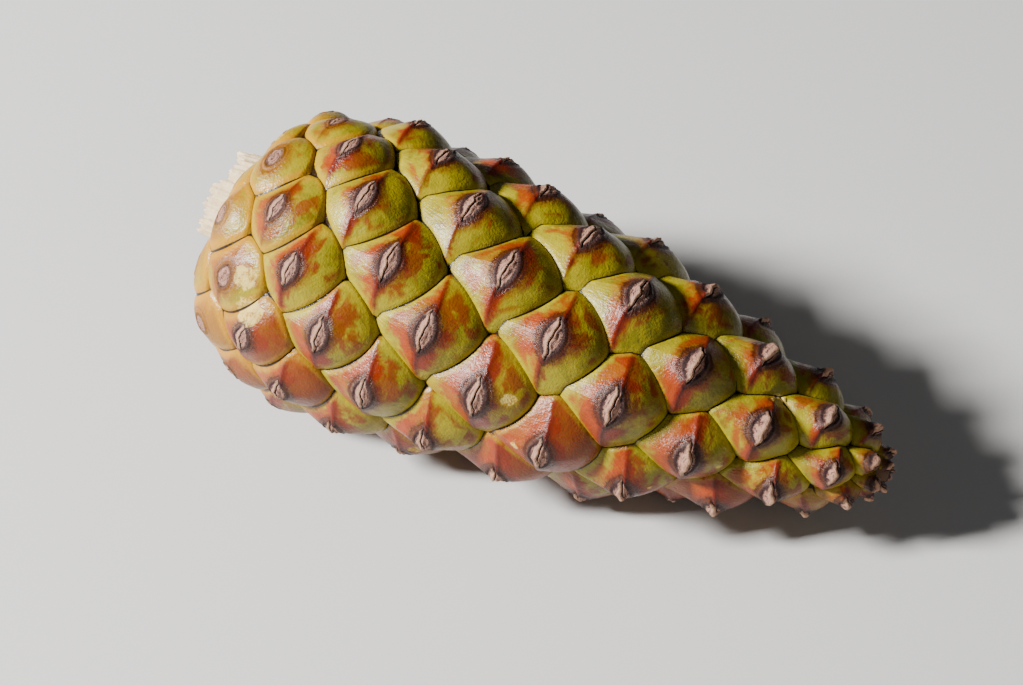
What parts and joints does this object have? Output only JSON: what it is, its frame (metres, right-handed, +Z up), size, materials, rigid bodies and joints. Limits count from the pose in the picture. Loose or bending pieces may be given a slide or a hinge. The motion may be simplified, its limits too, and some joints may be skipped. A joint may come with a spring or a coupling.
{
  "type": "pine cone",
  "caption": "Closed, unripe pine cone lying on its side, with keeled scales in crossing spirals and a torn stalk stub.",
  "frame": {"origin": "centre of the bounding box in plan, at the underside that the cone rests on", "axes": "+X along the cone from the stalk end to the tip, +Z up, -Y towards the side seen in the picture"},
  "size_m": [0.1246, 0.0542, 0.0535],
  "materials": {
    "cone_skin": "satin",
    "torn_wood": "matte"
  },
  "bodies": {
    "root": {"cone": "cone_skin", "stalk_stub": "torn_wood"}
  },
  "joints": []
}
